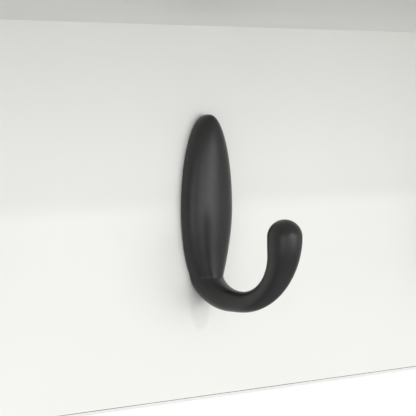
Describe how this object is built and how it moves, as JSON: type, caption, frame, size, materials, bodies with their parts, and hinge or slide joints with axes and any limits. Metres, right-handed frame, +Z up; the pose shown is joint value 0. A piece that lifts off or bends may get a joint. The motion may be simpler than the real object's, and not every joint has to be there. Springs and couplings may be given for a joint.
{
  "type": "wall hook rack",
  "caption": "White wall shelf with a back rail that carries rounded black coat hooks, held by end gables and hung on keyhole plates.",
  "frame": {"origin": "centre of the rail's back face, on the wall", "axes": "+Z up, +X to the right along the rack, +Y into the wall, so the front faces -Y"},
  "size_m": [0.8, 0.3, 0.205],
  "materials": {
    "melamine_board": "particleboard under warm white satin melamine foil",
    "edging": "white satin edge strip",
    "black_hook": "die-cast zinc under satin charcoal black powder coat",
    "zinc_screw": "bright zinc plated",
    "cam_zinc": "grey die-cast zinc",
    "hanger_steel": "zinc plated sheet steel",
    "beech_dowel": "raw beech",
    "cam_cap": "white moulded plastic"
  },
  "bodies": {
    "root": {"hook_1": "black_hook", "hook_1_lower_screw": "zinc_screw", "hook_1_upper_screw": "zinc_screw", "hook_2": "black_hook", "hook_2_lower_screw": "zinc_screw", "hook_2_upper_screw": "zinc_screw", "hook_3": "black_hook", "hook_3_lower_screw": "zinc_screw", "hook_3_upper_screw": "zinc_screw", "hook_4": "black_hook", "hook_4_lower_screw": "zinc_screw", "hook_4_upper_screw": "zinc_screw", "left_gable": "melamine_board", "left_gable_band": "edging", "left_gable_cam": "cam_zinc", "left_gable_cam_bolt": "cam_zinc", "left_gable_cam_cap": "cam_cap", "left_gable_front_dowel": "beech_dowel", "left_gable_rear_dowel": "beech_dowel", "left_hanger_lower_screw": "zinc_screw", "left_hanger_plate": "hanger_steel", "left_hanger_upper_screw": "zinc_screw", "left_rail_cam": "cam_zinc", "left_rail_cam_bolt": "cam_zinc", "left_rail_lower_dowel": "beech_dowel", "left_rail_upper_dowel": "beech_dowel", "left_shelf_cam": "cam_zinc", "left_shelf_cam_bolt": "cam_zinc", "rail_board": "melamine_board", "rail_bottom_band": "edging", "right_gable": "melamine_board", "right_gable_band": "edging", "right_gable_cam": "cam_zinc", "right_gable_cam_bolt": "cam_zinc", "right_gable_cam_cap": "cam_cap", "right_gable_front_dowel": "beech_dowel", "right_gable_rear_dowel": "beech_dowel", "right_hanger_lower_screw": "zinc_screw", "right_hanger_plate": "hanger_steel", "right_hanger_upper_screw": "zinc_screw", "right_rail_cam": "cam_zinc", "right_rail_cam_bolt": "cam_zinc", "right_rail_lower_dowel": "beech_dowel", "right_rail_upper_dowel": "beech_dowel", "right_shelf_cam": "cam_zinc", "right_shelf_cam_bolt": "cam_zinc", "shelf_board": "melamine_board", "shelf_front_band": "edging", "shelf_left_band": "edging", "shelf_left_dowel": "beech_dowel", "shelf_middle_dowel": "beech_dowel", "shelf_right_band": "edging", "shelf_right_dowel": "beech_dowel"}
  },
  "joints": []
}
